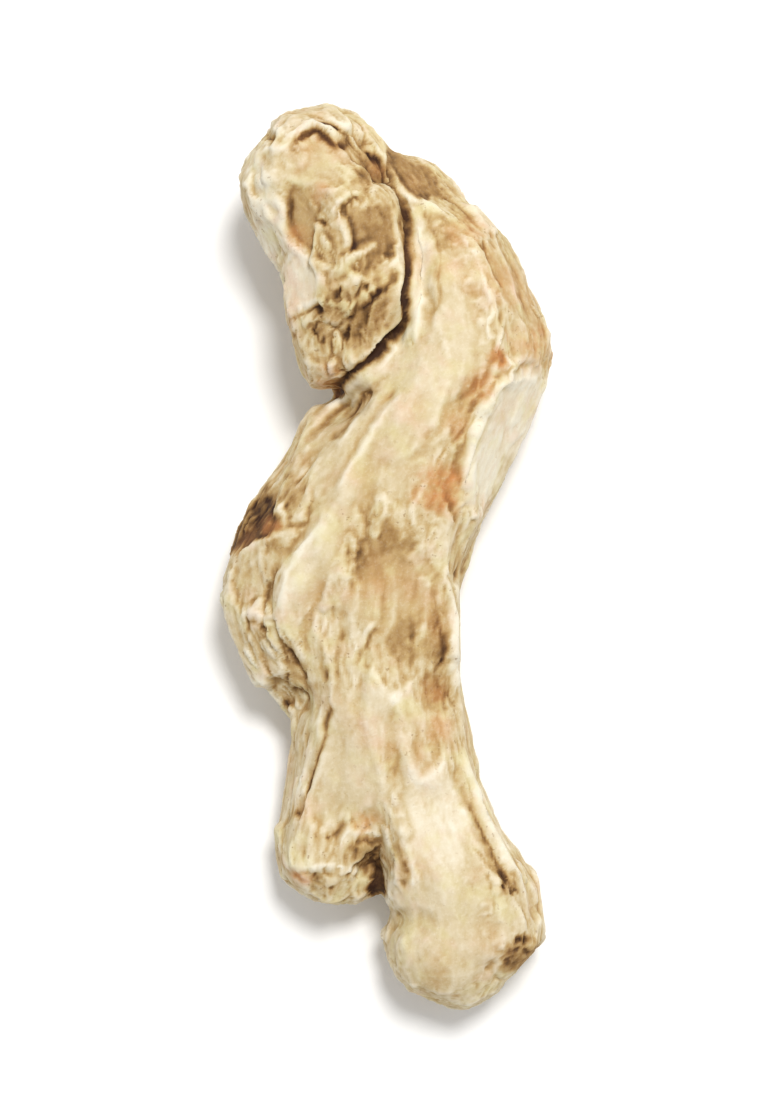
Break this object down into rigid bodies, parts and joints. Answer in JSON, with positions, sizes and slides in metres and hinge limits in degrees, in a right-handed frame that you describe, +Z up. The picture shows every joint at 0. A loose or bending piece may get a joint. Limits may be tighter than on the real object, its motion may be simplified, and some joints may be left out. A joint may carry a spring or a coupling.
{
  "type": "dried ginger root",
  "caption": "Shrivelled dried ginger rhizome with a stubby side branch, a shoulder bulge and two blunt fingers, lying flat.",
  "frame": {"origin": "middle of the root's outline, on the surface it lies on", "axes": "+Y along the root from the two fingers to the side branch, +X towards the convex flank, +Z up off the surface"},
  "size_m": [0.0276, 0.075, 0.0163],
  "materials": {
    "ginger_skin": "matte, powdery, cream on the high places and ochre to brown in the folds"
  },
  "bodies": {
    "root": {"ginger_root": "ginger_skin"}
  },
  "joints": []
}
